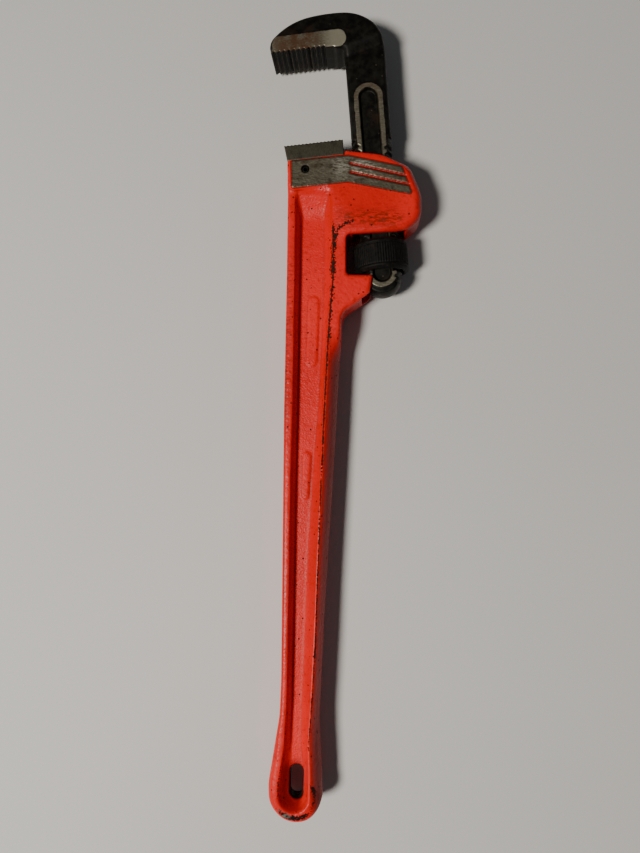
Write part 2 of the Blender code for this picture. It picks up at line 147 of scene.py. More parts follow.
def polygon_distance(x, y, points):
    """Signed distance to a closed polygon, negative inside."""
    nearest = np.full(x.shape, 1e9, np.float32)
    inside = np.zeros(x.shape, bool)
    for (ax, ay), (bx, by) in zip(points, points[1:] + points[:1]):
        ex, ey = bx - ax, by - ay
        px, py = x - ax, y - ay
        share = np.clip((px * ex + py * ey) / max(ex * ex + ey * ey, 1e-9), 0.0, 1.0)
        nearest = np.minimum(nearest, (px - ex * share) ** 2 + (py - ey * share) ** 2)
        crosses = (ay > y) != (by > y)
        if ay != by:
            inside ^= crosses & (px < ex * (y - ay) / ey)
    distance = np.sqrt(nearest)
    return np.where(inside, -distance, distance)


def segment_distance(x, y, a, b):
    """Distance to the straight line from a to b."""
    ex, ey = b[0] - a[0], b[1] - a[1]
    px, py = x - a[0], y - a[1]
    share = np.clip((px * ex + py * ey) / (ex * ex + ey * ey), 0.0, 1.0)
    return np.hypot(px - ex * share, py - ey * share)


def box_distance(a, b, c, middle, half):
    """Distance to a box with the given middle and half sizes."""
    qa = np.abs(a - middle[0]) - half[0]
    qb = np.abs(b - middle[1]) - half[1]
    qc = np.abs(c - middle[2]) - half[2]
    outside = np.sqrt(np.maximum(qa, 0) ** 2 + np.maximum(qb, 0) ** 2 + np.maximum(qc, 0) ** 2)
    return outside + np.minimum(np.maximum(np.maximum(qa, qb), qc), 0.0)


def rounded_plate(plan, height, radius):
    """A plate from its plan distance and its height above the face, edges rounded."""
    a = plan + radius
    b = height + radius
    outside = np.hypot(np.maximum(a, 0.0), np.maximum(b, 0.0))
    return outside + np.minimum(np.maximum(a, b), 0.0) - radius


def to_jaw(x, y):
    """Handle-frame coordinates in the jaw frame."""
    dx, dy = x - JAW_ORIGIN[0], y - JAW_ORIGIN[1]
    c, s = math.cos(JAW_TILT), math.sin(JAW_TILT)
    return dx * c + dy * s, -dx * s + dy * c


def box_blur(field, reach):
    """Mean of a field over a cube of 2 reach + 1 samples."""
    out = field
    width = 2 * reach + 1
    for axis in range(3):
        pad = [(0, 0)] * 3
        pad[axis] = (reach + 1, reach)
        total = np.cumsum(np.pad(out, pad, mode="edge"), axis=axis, dtype=np.float64)
        count = out.shape[axis]
        high = np.take(total, range(width, width + count), axis=axis)
        low = np.take(total, range(count), axis=axis)
        out = ((high - low) / width).astype(np.float32)
    return out


# Corners of a cell, and its edges as pairs of corners whose numbers differ in one bit.
CORNERS = np.array([[c & 1, c >> 1 & 1, c >> 2 & 1] for c in range(8)])
EDGES = [(a, b) for a in range(8) for b in range(a + 1, 8) if (a ^ b) in (1, 2, 4)]


def sample(field, places):
    """Trilinear samples of a field at fractional grid places."""
    base = np.clip(np.floor(places).astype(int), 0, np.array(field.shape) - 2)
    share = places - base
    total = np.zeros(len(places), np.float32)
    for corner in CORNERS:
        weight = np.prod(np.where(corner, share, 1.0 - share), axis=1)
        total += weight * field[tuple((base + corner).T)]
    return total


def surface_net(field):
    """Vertices (in grid units) and quads of the zero surface of a field."""
    inside = field < 0.0
    shape = tuple(n - 1 for n in field.shape)
    count = np.zeros(shape, np.uint8)
    for i, j, k in CORNERS:
        count += inside[i : i + shape[0], j : j + shape[1], k : k + shape[2]]
    cells = np.argwhere((count > 0) & (count < 8))
    ids = np.full(shape, -1, np.int32)
    ids[tuple(cells.T)] = np.arange(len(cells))
    values = np.stack([field[tuple((cells + corner).T)] for corner in CORNERS], axis=1)
    total = np.zeros((len(cells), 3), np.float64)
    hits = np.zeros(len(cells), np.float64)
    for a, b in EDGES:
        va, vb = values[:, a], values[:, b]
        crossed = (va < 0.0) != (vb < 0.0)
        share = np.where(crossed, va / np.where(crossed, va - vb, 1.0), 0.0)
        point = CORNERS[a] + (CORNERS[b] - CORNERS[a]) * share[:, None]
        total += point * crossed[:, None]
        hits += crossed
    vertices = cells + total / hits[:, None]
    quads = []
    for axis in range(3):
        u, v = (axis + 1) % 3, (axis + 2) % 3
        first = [slice(None)] * 3
        second = [slice(None)] * 3
        first[axis], second[axis] = slice(None, -1), slice(1, None)
        starts = inside[tuple(first)]
        where = np.argwhere(starts != inside[tuple(second)])
        across = where[:, (u, v)]
        where = where[np.all((across > 0) & (across < (shape[u], shape[v])), axis=1)]
        out = starts[tuple(where.T)]
        around = []
        for du, dv in ((-1, -1), (0, -1), (0, 0), (-1, 0)):
            cell = where.copy()
            cell[:, u] += du
            cell[:, v] += dv
            around.append(ids[tuple(cell.T)])
        quad = np.stack(around, axis=1)
        quad[~out] = quad[~out][:, ::-1]
        quads.append(quad)
    return vertices, np.concatenate(quads)


# Reach, in samples, of the mean that tells raised edges from hollows.
EDGE_REACH = 2


def carve(name, make_field, box, step, matrix, layers):
    """An object from a field sampled in a box, with its edges marked.

    layers maps the names of further attributes to functions of the points.
    """
    axes = [np.arange(low, high + step, step, dtype=np.float32) for low, high in zip(*box)]
    field = make_field(axes)
    grid, quads = surface_net(field)
    points = np.array([axis[0] for axis in axes]) + grid * step
    edge = sample(box_blur(field, EDGE_REACH), grid) / (step * EDGE_REACH)
    turn = np.array(matrix)
    world = points @ turn[:3, :3].T + turn[:3, 3]
    mesh = bpy.data.meshes.new(name)
    mesh.vertices.add(len(world))
    mesh.vertices.foreach_set("co", world.astype(np.float32).ravel())
    mesh.loops.add(4 * len(quads))
    mesh.loops.foreach_set("vertex_index", quads.astype(np.int32).ravel())
    mesh.polygons.add(len(quads))
    mesh.polygons.foreach_set("loop_start", np.arange(0, 4 * len(quads), 4, dtype=np.int32))
    mesh.update(calc_edges=True)
    mesh.validate()
    mesh.shade_smooth()
    found = {key: function(points) for key, function in layers.items()}
    found["edge"] = edge
    for key, value in found.items():
        layer = mesh.attributes.new(key, "FLOAT", "POINT")
        layer.data.foreach_set("value", np.asarray(value, np.float32).ravel())
    return add_object(name, mesh)


# --- Handle casting -------------------------------------------------------------------

# Half thicknesses of the casting, and the step and the box of its samples.
HOUSING_HALF = 16.6
BAND_HALF = 17.0
FLANGE_HALF = 14.0
WEB_HALF = 5.0
HANDLE_STEP = 0.8
HANDLE_GRID = ((-23.0, -4.0, -20.0), (86.0, 493.0, 20.0))

# Greatest square of a slope that the casting's field allows for.
STEEPEST = 8.0

# Value of a layer away from the place that it marks, and of a field that cuts nothing.
NOT_HERE = -5.0
FAR_INSIDE = -9.0

# Outlines are rows of corners: x, y and the radius of the corner's arc.
HANDLE_OUTLINE = (
    (-18.2, 13.8, 19.4), (-6.8, 2.4, 19.4), (9.2, 2.4, 19.4),
    (20.6, 13.8, 19.4), (20.0, 30.0, 40.0), (16.2, 72.0, 60.0),
    (18.0, 156.0, 400.0), (23.0, 286.0, 300.0), (24.9, 369.9, 10.0),
    (45.6, 384.6, 6.0), (47.4, 398.4, 2.2), (27.6, 398.4, 3.0),
    (26.6, 427.2, 4.0), (70.0, 429.9, 11.0), (81.2, 439.5, 14.0),
    (80.6, 457.0, 24.0), (71.6, 477.6, 12.0), (50.0, 485.2, 40.0),
    (24.2, 488.2, 0.0), (23.9, 485.0, 0.0), (-17.6, 480.5, 1.5),
    (-16.3, 400.0, 200.0), (-15.3, 295.0, 200.0), (-11.6, 104.0, 120.0),
    (-11.9, 78.0, 60.0), (-18.9, 29.0, 30.0),
)

# Flange crests and feet: y, then x of left crest, left foot, right foot, right crest.
POCKET = np.array(
    (
        (20.0, -11.5, -5.0, 6.2, 11.0),
        (36.0, -10.7, -4.7, 6.6, 10.9),
        (58.0, -7.9, -4.2, 4.0, 9.8),
        (87.0, -6.9, -4.0, 3.8, 11.2),
        (130.0, -7.2, -4.4, 4.4, 12.6),
        (188.0, -8.0, -5.0, 5.0, 12.9),
        (247.0, -8.9, -5.7, 7.0, 13.6),
        (306.0, -8.9, -6.2, 10.0, 14.5),
        (357.0, -9.7, -7.0, 11.4, 15.9),
        (395.0, -10.2, -7.3, 11.6, 18.0),
        (425.0, -10.9, -7.6, 11.0, 17.4),
        (470.0, -12.0, -8.0, 9.0, 15.5),
    )
)

# The pocket's round end at the tail: its middle, foot radius and crest radius. Then the
# heights between which the pocket's head climbs to the housing's face.
POOL = (-0.1, 21.5, 5.2, 11.4)
POCKET_HEAD = (443.5, 459.5)

# Where the casting is as thick as the housing.
HOUSING_REGION = (
    (-40.0, 462.0, 0.0), (6.0, 459.0, 8.0), (18.5, 442.0, 6.0),
    (25.0, 427.0, 4.0), (95.0, 420.0, 0.0), (95.0, 520.0, 0.0),
    (-40.0, 520.0, 0.0),
)

# The ground band's corners, and the middle lines of its two painted grooves.
BAND = (
    (-14.8, 480.2),
    (-13.8, 460.1),
    (27.2, 464.2),
    (73.7, 454.9),
    (65.7, 475.3),
    (26.7, 483.6),
)
BAND_GROOVES = (
    ((28.6, 477.8), (73.5, 467.6)),
    ((28.8, 471.4), (74.2, 461.6), (76.2, 457.6)),
)
GROOVE_HALF, GROOVE_DEPTH = 0.95, 1.0

# The hanging slot: ends of its middle line, and half its width. The pin's place (t, s).
HANG_SLOT = ((1.1, 21.6), (1.1, 36.0), 4.9)
PIN_PLACE = (-49.9, 61.8)

# Two plain raised pads on the web, where such tools have cast marks: lower and upper end
# of the pad's middle line, and half its width.
PADS = (((3.2, 335.0), (3.8, 379.0), 3.6), ((1.4, 236.0), (1.8, 265.0), 2.6))
PAD_HEIGHT = 0.8
PAD_SOFT = 0.5

# Fall of the beam's right flange from its crest outwards.
RIDGE_SLOPE = 0.78

# Outer edge radii: the plain one, what the beam, the tail and the back of the housing add
# to it, and those of the window, the ledge under the nut and the heel jaw's seat.
EDGE_R = 3.4
BEAM_ADDS, TAIL_ADDS, BACK_ADDS = 7.0, 2.4, 4.4
WINDOW_R, LEDGE_R, SEAT_R = 1.8, 4.6, 1.0

# Hollows cut in the jaw frame, as a box's middle and half sizes: the shank's bore, the slot
# that it needs through the ledge, and the heel jaw's seat.
BORE = ((-0.05, 50.0, 0.0), (19.05, 50.0, 10.4))
LEDGE_SLOT = ((11.7, -32.5, 0.0), (28.3, 27.5, 10.4))
HEEL_SEAT = ((-42.0, 76.0, 0.0), (16.3, 24.3, 8.3))
PIN_HOLE_R = 2.7

# The coil spring's well: its middle (t, s), radius and half length.
WELL_PLACE = (23.0, 36.0)
WELL_R, WELL_HALF = 6.9, 6.2


def pocket_columns(y):
    """Left crest, left foot, right foot and right crest of the flanges at a height y."""
    return [np.interp(y, POCKET[:, 0], POCKET[:, k]) for k in range(1, 5)]


def slot_distance(x, y):
    """Signed distance to the hanging slot's wall, negative in the slot."""
    low, high, half = HANG_SLOT
    return segment_distance(x, y, low, high) - half


def pin_distance(t, s):
    """Distance from the heel jaw pin's axis."""
    return np.hypot(t - PIN_PLACE[0], s - PIN_PLACE[1])


def beam_side(x, y):
    """1 on the right half of the beam below the ledge, 0 elsewhere."""
    return ramp(x, 2.0, 8.0) * fade(y, 330.0, 352.0)


def groove_distance(x, y):
    """Distance from the middle lines of the band's two grooves."""
    nearest = np.full(x.shape, 1e9, np.float32)
    for line in BAND_GROOVES:
        for a, b in zip(line, line[1:]):
            nearest = np.minimum(nearest, segment_distance(x, y, a, b))
    return nearest


def band_inside(x, y):
    """Positive inside the ground band, negative outside it and in its two grooves."""
    polygon = polygon_distance(x, y, round_corners([(*p, 1.2) for p in BAND]))
    return np.minimum(-polygon, groove_distance(x, y) - GROOVE_HALF)


def plate_height(x, y, housing_half):
    """Height of the casting's plate: flanges, housing, right flange falling outwards."""
    region = polygon_distance(x, y, round_corners(HOUSING_REGION))
    reach = 3.0 + 9.0 * ramp(x, 0.0, 12.0)
    top = FLANGE_HALF + (housing_half - FLANGE_HALF) * fade(region, -reach, reach)
    top = top + (housing_half - top) * ramp(band_inside(x, y), -1.6, -0.1)
    right_crest = pocket_columns(y)[3]
    beyond = np.where(y < POOL[1], np.hypot(x - POOL[0], y - POOL[1]) - POOL[3], x - right_crest)
    fall = RIDGE_SLOPE * ramp(x, -2.0, 9.0) * fade(y, 338.0, 362.0) * ramp(y, 4.0, 26.0)
    return top - fall * smooth_max(beyond - 0.6, 0.0 * beyond, 1.2)


def handle_heights(x, y):
    """Height of the casting's face over its middle plane, before outer rounding."""
    top = plate_height(x, y, HOUSING_HALF)
    left_crest, left_foot, right_foot, right_crest = pocket_columns(y)
    left = (left_foot - x) / (left_foot - left_crest)
    right = (x - right_foot) / (right_crest - right_foot)
    climb = smooth_max(left, right, 0.2)
    pool = (np.hypot(x - POOL[0], y - POOL[1]) - POOL[2]) / (POOL[3] - POOL[2])
    climb = np.where(y < POOL[1], pool, climb)
    head = (y - POCKET_HEAD[0]) / (POCKET_HEAD[1] - POCKET_HEAD[0])
    climb = smooth_max(climb, head, 0.5)
    floor = WEB_HALF + (top - WEB_HALF) * smooth_max(climb, 0.0 * climb, 0.28)
    for low, high, half in PADS:
        pad = segment_distance(x, y, low, high)
        floor = floor + PAD_HEIGHT * fade(pad, half - PAD_SOFT, half + PAD_SOFT)
    face = smooth_min(floor, top, 1.1)
    band = band_inside(x, y)
    groove = groove_distance(x, y)
    face = face + (BAND_HALF - HOUSING_HALF) * ramp(band, -0.4, 0.4)
    in_band = polygon_distance(x, y, list(BAND)) < 1.0
    return face - np.where(in_band, GROOVE_DEPTH * fade(groove, 0.1, GROOVE_HALF), 0.0)


def handle_rounding(x, y):
    """Radius of the outer edges: wide on the right flange, small round the window."""
    radius = np.full(x.shape, EDGE_R, np.float32)
    beam = beam_side(x, y) * ramp(y, 4.0, 26.0)
    radius = radius + BEAM_ADDS * beam
    radius = radius + TAIL_ADDS * fade(y, 40.0, 75.0) * (1.0 - beam)
    back = ramp(x, 50.0, 70.0)
    radius = radius + BACK_ADDS * back
    window = ramp(x, 16.0, 22.0) * fade(np.abs(y - 412.0), 14.0, 19.0) * (1.0 - back)
    radius = radius * (1.0 - window) + WINDOW_R * window
    ledge = ramp(x, 22.0, 30.0) * fade(np.abs(y - 385.0), 12.0, 18.0)
    radius = radius * (1.0 - ledge) + LEDGE_R * ledge
    seat = fade(x, 22.0, 24.0) * ramp(y, 470.0, 476.0)
    return radius * (1.0 - seat) + SEAT_R * seat


def handle_field(axes):
    """The casting: a plate with rounded edges under its face, less its hollows."""
    gx, gy = np.meshgrid(axes[0], axes[1], indexing="ij")
    z = np.abs(axes[2])[None, None, :]
    plan = polygon_distance(gx, gy, round_corners(HANDLE_OUTLINE)).astype(np.float32)
    face = handle_heights(gx, gy)
    # Height over a sloping face, made a distance square to it.
    slope_x, slope_y = np.gradient(face, HANDLE_STEP)
    lean = np.sqrt(1.0 + np.minimum(slope_x**2 + slope_y**2, STEEPEST))
    radius = handle_rounding(gx, gy)
    top = plate_height(gx, gy, BAND_HALF)
    plate = rounded_plate(plan[:, :, None], z - top[:, :, None], radius[:, :, None])
    surface = (z - face[:, :, None]) / lean[:, :, None]
    field = smooth_max(plate, surface, 0.8)
    t, s = to_jaw(gx, gy)
    t, s = t[:, :, None], s[:, :, None]
    well_side = np.hypot(s - WELL_PLACE[1], z) - WELL_R
    well = np.maximum(well_side, np.abs(t - WELL_PLACE[0]) - WELL_HALF)
    cutters = (
        (box_distance(t, s, z, *BORE), 0.7),
        (box_distance(t, s, z, *LEDGE_SLOT), 0.7),
        (box_distance(t, s, z, *HEEL_SEAT), 0.5),
        (pin_distance(t, s) - PIN_HOLE_R, 0.2),
        (well, 0.4),
        (slot_distance(gx, gy)[:, :, None], 1.6),
    )
    for cutter, soft in cutters:
        field = smooth_max(field, -cutter, soft)
    return field.astype(np.float32)


# Chipped line round the window's corner, and the middle of the tail's round end.
CORNER_WEAR = ((17.6, 396.0), (18.2, 422.0), (20.5, 430.5), (26.5, 434.5), (31.0, 435.5))
TAIL_MIDDLE = (1.0, 21.5)


def handle_wear(points):
    """How readily the paint chips: along the flange crests, window corner and tail rim."""
    x, y, z = points.T
    left_crest, _, _, right_crest = pocket_columns(y)
    along = ramp(y, 45.0, 60.0) * fade(y, 430.0, 442.0)
    off = x - right_crest
    line = (1.05 + 0.15 * ramp(y, 150.0, 300.0)) * near(off, 0.9) * along
    spread = (0.45 + 0.37 * ramp(y, 310.0, 370.0)) * near(off - 0.5, 3.2) * along
    left = (0.8 - 0.35 * ramp(y, 36.0, 56.0)) * near(x - left_crest, 1.4)
    left = left * ramp(y, 14.0, 24.0) * fade(y, 440.0, 470.0)
    corner = np.full(x.shape, 99.0)
    for a, b in zip(CORNER_WEAR, CORNER_WEAR[1:]):
        corner = np.minimum(corner, segment_distance(x, y, a, b))
    corner = 0.98 * near(corner, 3.0)
    rim = np.hypot(x - TAIL_MIDDLE[0], y - TAIL_MIDDLE[1])
    tail = 1.15 * near(rim - 14.2, 3.0) * fade(y, 8.0, 20.0)
    side = 0.9 * near(rim - 14.0, 2.2) * ramp(x, 8.0, 13.0) * fade(y, 30.0, 60.0)
    edge = 0.7 * near(segment_distance(x, y, (27.0, 398.0), (47.0, 398.0)), 1.6)
    most = np.maximum.reduce([line, spread, left, corner, tail, side, edge])
    return most * (np.abs(z) > 4.0)


def handle_rub(points):
    """Where the paint is rubbed brown: above the window and along the outer left flange."""
    x, y, z = points.T
    above = near(segment_distance(x, y, (24.0, 438.0), (62.0, 438.0)), 6.0)
    left = 0.6 * near(x + 14.0, 3.0) * ramp(y, 274.0, 300.0) * fade(y, 395.0, 430.0)
    return np.maximum(above, left) * (np.abs(z) > 6.0)


def handle_holes(points):
    """Distance from the pin hole's middle, or as much for the wall of the hanging slot, which
    gets painted shade.
    """
    x, y, _ = points.T
    return np.minimum(pin_distance(*to_jaw(x, y)), slot_distance(x, y) + PIN_HOLE_R + 0.1)


def handle_painted_shade(points):
    """Painted shade on the outer flank, on the housing's back edge and in the hollow at the
    slot.
    """
    x, y, z = points.T
    flank = ramp(x - pocket_columns(y)[3], 1.0, 6.0) * beam_side(x, y)
    slot = slot_distance(x, y)
    hollow = fade(slot, 2.0, 7.5) * fade(y, 38.0, 52.0) * fade(x, 2.5, 7.0)
    back = 0.7 * fade(np.abs(z), 12.0, 15.4) * ramp(x, 56.0, 68.0)
    return np.maximum.reduce([flank, hollow, back])


def handle_shine(points):
    """Where the ground band is rubbed brightest: at its bend."""
    x, y, _ = points.T
    return near(segment_distance(x, y, (22.0, 475.5), (40.0, 476.0)), 8.0)


def handle_grain(points):
    """How coarse the casting's skin shows: most on the web between the flanges."""
    return fade(np.abs(points[:, 2]), 6.0, 8.5)


def handle_band(points):
    """Positive on the ground band of both sides, negative elsewhere."""
    x, y, z = points.T
    return np.where(np.abs(z) > 15.5, band_inside(x, y), NOT_HERE)


def build_handle():
    """The handle's casting."""
    layers = {
        "band": handle_band,
        "hole": handle_holes,
        "wear": handle_wear,
        "rub": handle_rub,
        # The next layer is painted shade: the outer flank, the housing's back edge and the
        # hollow by the slot.
        "painted_shade": handle_painted_shade,
        "grain": handle_grain,
        "shine": handle_shine,
        "tail": lambda p: fade(p[:, 1], 8.0, 22.0),
    }
    return carve("handle_casting", handle_field, HANDLE_GRID, HANDLE_STEP, HANDLE_MATRIX, layers)


# --- Hook jaw -------------------------------------------------------------------------

# Step and box of the samples, the shank, its thread, and the teeth: height s of their
# tips, pitch, depth, share of the pitch that rises, and the row's ends in t.
HOOK_STEP = 0.55
HOOK_GRID = ((-74.0, -38.0, -16.0), (19.0, 184.0, 16.0))
SHANK_R = 14.7
SHANK_HALF = 10.0
THREAD_PITCH = 5.0
THREAD_DEPTH = 2.0
THREAD_START, THREAD_END = -25.0, 80.0
DOME_S = THREAD_START + 4.0
TOOTH_S = 152.0
TOOTH_PITCH = 3.7
TOOTH_DEPTH = 2.0
TOOTH_RISE = 0.72
TOOTH_T = (-69.0, -28.0)

# Heights of the hook's flat sides over its middle plane: neck, head, and the head's land.
NECK_HALF, HEAD_HALF, HEAD_LAND_HALF = 9.6, 13.3, 14.0
HOOK_EDGE_R = 4.6
RECESS_DEPTH = 2.9

# The lands: middle line of the shank's ring and its outer and inner half widths; middle
# line and half width of the head's land.
LAND_SEGMENT = ((0.0, -17.4), (0.0, 113.5))
LAND_OUTER, LAND_INNER = 10.65, 7.1
HEAD_LAND = ((-90.0, 157.9), (-19.2, 157.9), 6.5)

# The hook's outline: points of its curved back, then corners of its inner side.
HOOK_BACK = (
    (14.75, 122.0), (15.2, 132.0), (15.5, 142.0), (15.2, 150.4),
    (13.6, 158.4), (10.0, 166.0), (4.8, 171.6), (-1.6, 175.9),
    (-9.5, 178.6), (-18.5, 179.6), (-30.0, 179.6), (-41.5, 178.4),
    (-50.5, 175.7), (-58.5, 171.5), (-65.0, 166.8), (-68.7, 162.6),
    (-70.0, 157.5), (-70.2, 151.0),
)
HOOK_FRONT = (
    (-70.2, 151.9, 0.8), (-22.5, 152.0, 0.8), (-20.4, 150.6, 1.0),
    (-14.75, 151.0, 2.2), (-14.75, 70.0, 0.0), (14.75, 70.0, 0.0),
)


def thread_ridge(s, angle):
    """Profile of the right-hand thread: 1 on its crest, 0 at its root."""
    turn = (s / THREAD_PITCH + angle / (2 * math.pi)) % 1.0
    return np.clip(1.6 - 4.4 * np.abs(turn - 0.5), 0.0, 1.0)


def saw_tooth(along, pitch, rise):
    """A slanted tooth: climbs from 0 to 1 over the share rise of its pitch, then falls."""
    phase = along / pitch % 1.0
    return np.where(phase < rise, phase / rise, (1.0 - phase) / (1.0 - rise))


def head_land_distance(t, s):
    """Signed distance to the rim of the head's land, negative on it."""
    tip, root, half = HEAD_LAND
    return segment_distance(t, s, tip, root) - half


def hook_plate(gt, gs, z):
    """The forging's plate and the height of its flat sides, with lands and recess."""
    outline = round_corners(HOOK_FRONT) + through(HOOK_BACK)
    plan = polygon_distance(gt, gs, outline).astype(np.float32)
    head_side = ramp(gs - 0.25 * gt, 148.0, 156.0)
    top = NECK_HALF + (HEAD_HALF - NECK_HALF) * head_side
    top = top - 1.2 * ramp(gs + 0.10 * gt, 162.0, 177.0) * head_side
    head_land = head_land_distance(gt, gs)
    plate_top = top + 0.5 + (HEAD_LAND_HALF - 0.5 - top) * fade(head_land, -0.5, 3.0)
    top = top + (HEAD_LAND_HALF - top) * fade(head_land, -0.1, 0.7)
    shank_land = segment_distance(gt, gs, *LAND_SEGMENT)
    on_ring = fade(shank_land - LAND_OUTER, -0.1, 0.5) * (gs < 130.0)
    top = top + (SHANK_HALF - top) * on_ring
    top = top - RECESS_DEPTH * fade(shank_land - LAND_INNER, -1.5, 0.1)
    at_teeth = fade(gt, -20.0, -14.0) * fade(gs, 152.5, 156.0)
    radius = HOOK_EDGE_R - 3.6 * at_teeth
    plate = rounded_plate(plan[:, :, None], z - plate_top[:, :, None], radius[:, :, None])
    return plate, top


def shank_bar(t, s, signed_z):
    """The shank: a round bar with a helical groove and a domed end."""
    ridge = thread_ridge(s, np.arctan2(signed_z, t))
    threaded = ramp(s, THREAD_START - 2.0, THREAD_START) * fade(s, THREAD_END - 3.0, THREAD_END)
    bar_radius = SHANK_R - THREAD_DEPTH * (1.0 - ridge) * threaded
    bar = (np.hypot(t, signed_z) - bar_radius) * 0.8
    past_dome = np.maximum(DOME_S - s, 0.0) * 1.08
    dome = np.sqrt(t**2 + past_dome**2 + (signed_z * 0.8) ** 2) - SHANK_R + 0.7
    bar = smooth_max(bar, np.where(s < DOME_S, dome, FAR_INSIDE), 0.8)
    return np.maximum(bar, s - 92.0)


def hook_field(axes):
    """The hook jaw: its plate joined to the shank, cut flat on both sides, with teeth."""
    gt, gs = np.meshgrid(axes[0], axes[1], indexing="ij")
    t, s = gt[:, :, None], gs[:, :, None]
    signed_z = axes[2][None, None, :]
    z = np.abs(signed_z)
    plate, top = hook_plate(gt, gs, z)
    bar = shank_bar(t, s, signed_z)
    body = np.where(s < 82.0, bar, smooth_min(plate, bar, 0.6))
    field = smooth_max(body, z - top[:, :, None], 0.5)
    notch = TOOTH_DEPTH * saw_tooth(t - TOOTH_T[0], TOOTH_PITCH, TOOTH_RISE)
    in_row = ramp(t, TOOTH_T[0] - 0.4, TOOTH_T[0]) * fade(t, TOOTH_T[1], TOOTH_T[1] + 0.3)
    teeth = (TOOTH_S + notch * in_row - s) * 0.75
    teeth = np.where((t < -22.0) & (s < 158.0), teeth, FAR_INSIDE)
    return smooth_max(field, teeth, 0.25).astype(np.float32)


def bare_land(points):
    """Positive on the ground lands of the head and the shank."""
    t, s, z = points.T
    shank = segment_distance(t, s, *LAND_SEGMENT)
    ring = np.minimum(LAND_OUTER - shank, shank - LAND_INNER)
    ring = np.where((np.abs(z) > 9.2) & ((s > 55.0) | (s < -17.0)), ring, NOT_HERE)
    head = np.where(np.abs(z) > 13.2, -head_land_distance(t, s), NOT_HERE)
    return np.where(s > 140.0, head, ring)


def build_hook():
    """The hook jaw, shank and head in one."""
    layers = {
        "bare": bare_land,
        "along_t": lambda p: p[:, 0],
        "along_s": lambda p: p[:, 1],
    }
    return carve("hook_jaw_forging", hook_field, HOOK_GRID, HOOK_STEP, JAW_MATRIX, layers)


# --- Heel jaw, nut, pin and springs ---------------------------------------------------

# The heel jaw: its block's ends in t and s, half width, the lean of its outer end, its
# root's middle and half sizes, and its teeth.
HEEL_STEP = 0.45
HEEL_GRID = ((-67.0, 49.0, -16.0), (-18.0, 85.0, 16.0))
HEEL_T = (-64.5, -21.0)
HEEL_S = (70.3, 82.1)
HEEL_HALF = 14.0
HEEL_LEAN = 1.6
HEEL_ROOT = ((-42.0, 62.5, 0.0), (15.9, 10.4, 7.9))
HEEL_TEETH = 16
HEEL_TOOTH_DEPTH = 0.6
HEEL_HOLE_R = 2.75

# The nut: outer and bore radius, ends in s, and its knurl.
NUT_STEP = 0.42
NUT_GRID = ((-22.0, -19.0, -22.0), (22.0, 8.5, 22.0))
NUT_R, NUT_BORE = 20.15, 15.2
NUT_S = (-16.5, 6.0)
KNURLS = 66
KNURL_DEPTH = 0.42

# The pin's outer and inner radius, half length and bevel, and the split along it.
PIN_R, PIN_BORE, PIN_HALF, PIN_BEVEL = 2.45, 1.5, 15.7, 0.4
PIN_SPLIT = math.radians(14)
PIN_STEPS = 40


def heel_field(axes):
    """The toothed block and its root, with the pin's hole through both."""
    gt, gs = np.meshgrid(axes[0], axes[1], indexing="ij")
    t, s = gt[:, :, None], gs[:, :, None]
    z = axes[2][None, None, :]
    left = HEEL_T[0] + HEEL_LEAN * np.clip((HEEL_S[1] - gs) / 12.0, 0.0, 1.0)
    across = np.maximum(left - gt, gt - HEEL_T[1])
    plan = np.maximum(across, np.maximum(HEEL_S[0] - gs, gs - HEEL_S[1]))
    block = rounded_plate(plan[:, :, None].astype(np.float32), np.abs(z) - HEEL_HALF, 0.5)
    pitch = (HEEL_T[1] - HEEL_T[0]) / HEEL_TEETH
    notch = HEEL_TOOTH_DEPTH * saw_tooth(t - HEEL_T[0], pitch, 0.7)
    block = smooth_max(block, (s - HEEL_S[1] + notch) * 0.85, 0.15)
    root = box_distance(t, s, z, *HEEL_ROOT) - 0.1
    field = smooth_min(block, root, 0.3)
    return np.maximum(field, HEEL_HOLE_R - pin_distance(t, s)).astype(np.float32)


def build_heel():
    """The heel jaw's block."""
    return carve("heel_jaw_block", heel_field, HEEL_GRID, HEEL_STEP, JAW_MATRIX, {})


def nut_field(axes):
    """A bevelled ring, knurled between plain end bands, threaded inside."""
    t, s, z = np.meshgrid(*axes, indexing="ij", sparse=True)
    radius = np.hypot(t, z)
    around = np.arctan2(z, t)
    middle = (NUT_S[0] + NUT_S[1]) / 2
    half = (NUT_S[1] - NUT_S[0]) / 2
    off = np.abs(s - middle)
    wave = 0.5 - 0.5 * np.cos(around * KNURLS)
    knurled = fade(off, half - 4.2, half - 3.4)
    outer = radius - NUT_R + (KNURL_DEPTH * wave**2 + 0.1) * knurled
    neck = 0.5 * fade(np.abs(off - half + 3.8), 0.2, 0.7)
    outer = outer + neck
    ring = smooth_max(outer, off - half, 0.5)
    ring = smooth_max(ring, (radius - NUT_R + 2.0 + off - half) * math.sqrt(0.5), 0.5)
    ridge = thread_ridge(s, around)
    bore = NUT_BORE + 1.2 * (ridge - 0.6) * (ridge > 0.6) - radius
    bore = smooth_max(bore, (NUT_BORE + 1.4 - radius + (off - half)) * math.sqrt(0.5), 0.3)
    return smooth_max(ring, bore, 0.3).astype(np.float32)


def build_nut():
    """The knurled nut."""
    return carve("adjusting_nut_knurled", nut_field, NUT_GRID, NUT_STEP, JAW_MATRIX, {})


